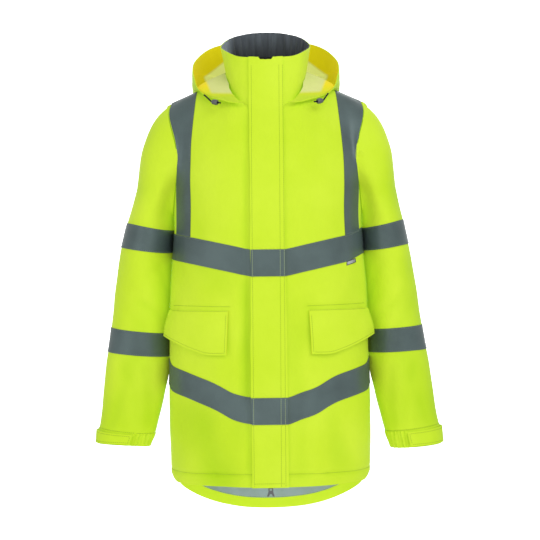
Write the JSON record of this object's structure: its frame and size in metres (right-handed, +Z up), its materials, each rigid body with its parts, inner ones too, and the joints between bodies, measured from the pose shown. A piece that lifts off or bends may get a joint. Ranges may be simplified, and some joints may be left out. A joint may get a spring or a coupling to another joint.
{
  "type": "high-visibility work jacket",
  "caption": "Hip-length padded parka with stand collar, folded-back hood, storm flap, pocket flaps, tabbed cuffs, drop tail and reflective tapes.",
  "frame": {"origin": "midway between the wearer's shoulders, at the height where the shoulders carry the jacket", "axes": "+Z up along the jacket, -Y out of its front, +X towards the wearer's left"},
  "size_m": [0.7026, 0.3367, 0.9929],
  "materials": {
    "shell": "fluorescent yellow coated polyester, fine weave",
    "grey_lining": "matt grey quilted lining",
    "collar_fleece": "dark grey fleece, gathered",
    "pale_lining": "matt pale lining",
    "reflective_tape": "grey retroreflective tape, satin",
    "zip_black": "matt",
    "grey_plastic": "satin moulded",
    "cord_black": "braided elastic cord",
    "label_grey": "plain woven tab"
  },
  "bodies": {
    "root": {"front_left": "shell", "front_right": "shell", "back": "shell", "sleeve_left": "shell", "sleeve_right": "shell", "cuff_left": "shell", "cuff_right": "shell", "cuff_tab_left": "shell", "cuff_tab_right": "shell", "collar": "shell", "hood_left": "shell", "hood_right": "shell", "placket": "shell", "flap_left": "shell", "flap_right": "shell", "back_lining": "grey_lining", "collar_lining": "collar_fleece", "hood_lining": "pale_lining", "tape_chest": "reflective_tape", "tape_hip": "reflective_tape", "tape_placket_chest": "reflective_tape", "tape_placket_hip": "reflective_tape", "tape_shoulder_left": "reflective_tape", "tape_shoulder_right": "reflective_tape", "tape_sleeve_upper_left": "reflective_tape", "tape_sleeve_upper_right": "reflective_tape", "tape_sleeve_lower_left": "reflective_tape", "tape_sleeve_lower_right": "reflective_tape", "zip": "zip_black", "zip_pull": "grey_plastic", "toggle_left": "grey_plastic", "toggle_right": "grey_plastic", "cord_left": "cord_black", "cord_right": "cord_black", "label": "label_grey"}
  },
  "joints": []
}
